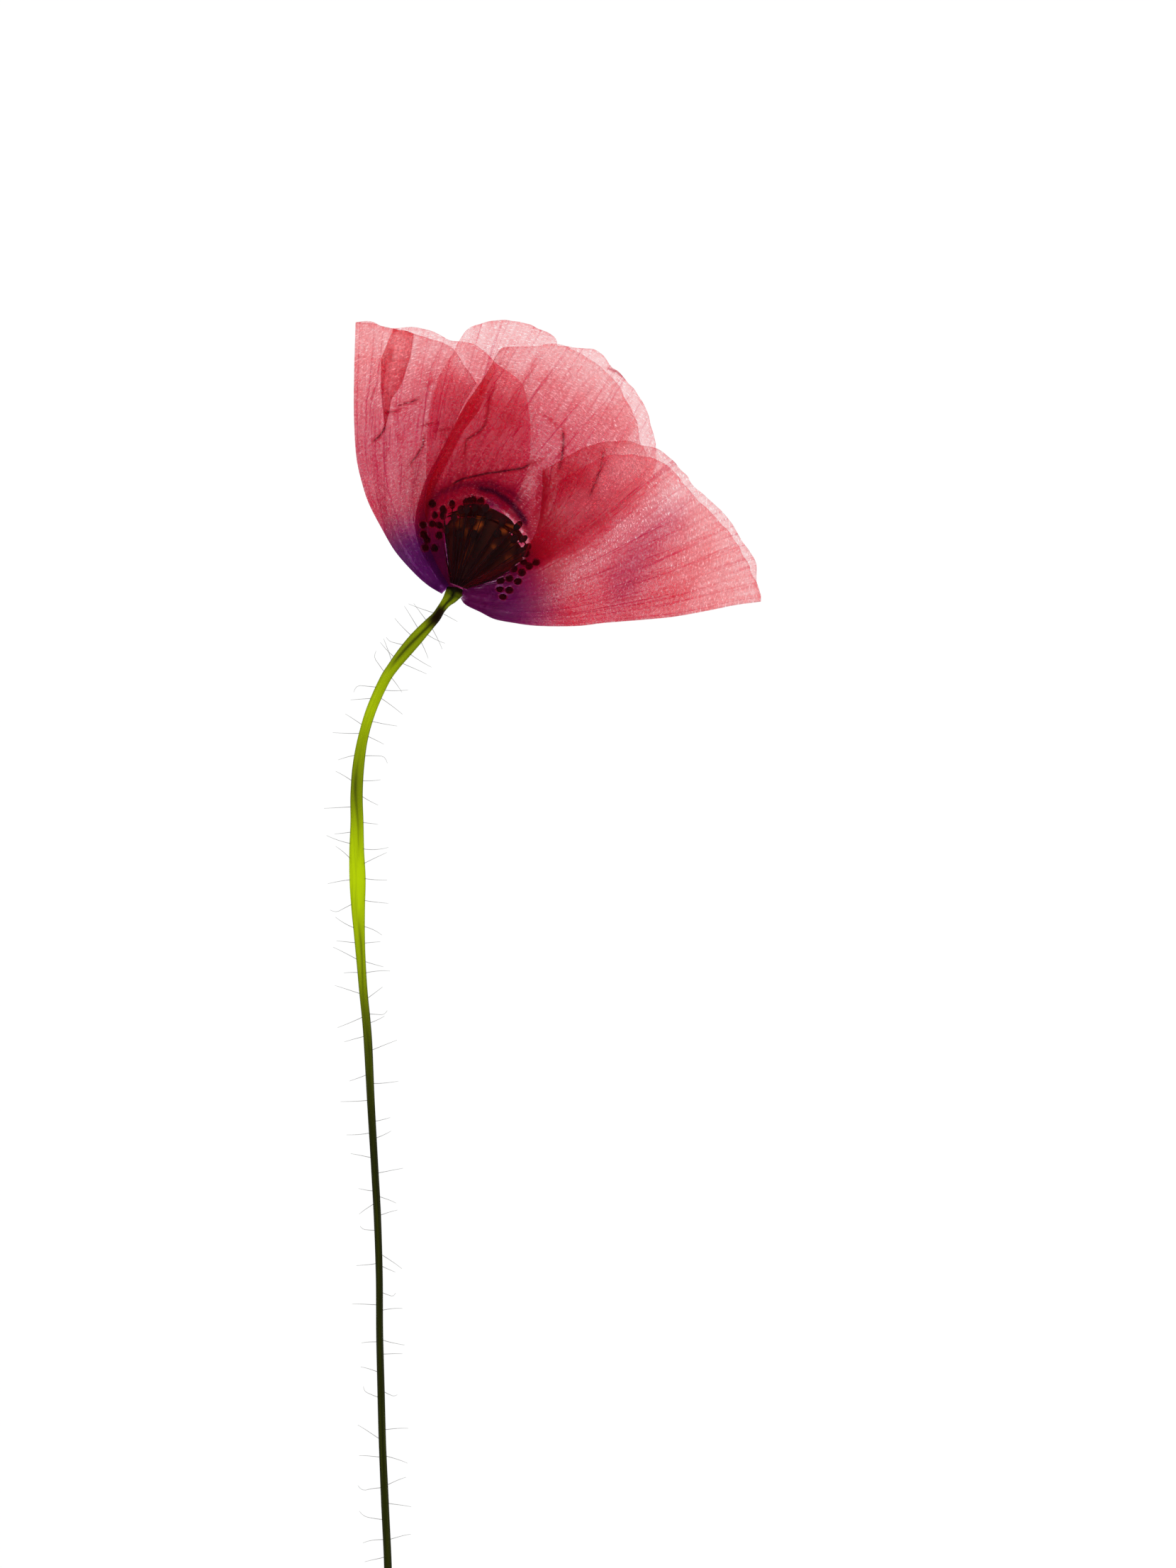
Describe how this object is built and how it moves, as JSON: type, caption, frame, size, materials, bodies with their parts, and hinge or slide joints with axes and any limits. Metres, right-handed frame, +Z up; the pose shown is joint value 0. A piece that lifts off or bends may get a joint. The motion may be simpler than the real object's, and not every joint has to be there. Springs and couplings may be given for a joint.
{
  "type": "pressed corn poppy flower",
  "caption": "Corn poppy flower pressed flat: red papery petals folded around a dark seed pod and stamens, seen from the side, on a long bent hairy stalk.",
  "frame": {"origin": "on the resting surface, under the middle of the bounding box", "axes": "+X across the bloom, towards its long folded petal; +Y along the stalk, from the cut end to the petals; +Z up from the resting surface, through the layers of petals"},
  "size_m": [0.0525, 0.1647, 0.005],
  "materials": {
    "petal": "thin dried petal, see-through, satin with fine veins and crinkles",
    "stalk": "dried green stalk, satin, dull olive towards the cut end, with sparse pale hairs",
    "seed_pod": "dried, dark brown, finely ribbed, satin",
    "stigmatic_disc": "dried, dark brown, velvety",
    "stamen": "nearly black anthers on dark purple filaments, matte"
  },
  "bodies": {
    "root": {"stalk": "stalk", "receptacle": "stalk", "seed_pod": "seed_pod", "stigmatic_disc": "stigmatic_disc", "petal_outer_left": "petal", "petal_outer_right": "petal", "petal_inner_back": "petal", "petal_inner_front": "petal", "stamen_left_01": "stamen", "stamen_left_02": "stamen", "stamen_left_03": "stamen", "stamen_left_04": "stamen", "stamen_left_05": "stamen", "stamen_left_06": "stamen", "stamen_left_07": "stamen", "stamen_left_08": "stamen", "stamen_left_09": "stamen", "stamen_left_10": "stamen", "stamen_left_11": "stamen", "stamen_left_12": "stamen", "stamen_left_13": "stamen", "stamen_crown_01": "stamen", "stamen_crown_02": "stamen", "stamen_crown_03": "stamen", "stamen_crown_04": "stamen", "stamen_crown_05": "stamen", "stamen_crown_06": "stamen", "stamen_crown_07": "stamen", "stamen_crown_08": "stamen", "stamen_crown_09": "stamen", "stamen_crown_10": "stamen", "stamen_crown_11": "stamen", "stamen_right_01": "stamen", "stamen_right_02": "stamen", "stamen_right_03": "stamen", "stamen_right_04": "stamen", "stamen_right_05": "stamen", "stamen_right_06": "stamen", "stamen_right_07": "stamen", "stamen_right_08": "stamen", "stamen_right_09": "stamen", "stamen_right_10": "stamen", "stamen_right_11": "stamen", "stamen_right_12": "stamen", "stamen_right_13": "stamen", "stamen_right_14": "stamen", "stamen_right_15": "stamen", "stamen_right_16": "stamen"}
  },
  "joints": []
}
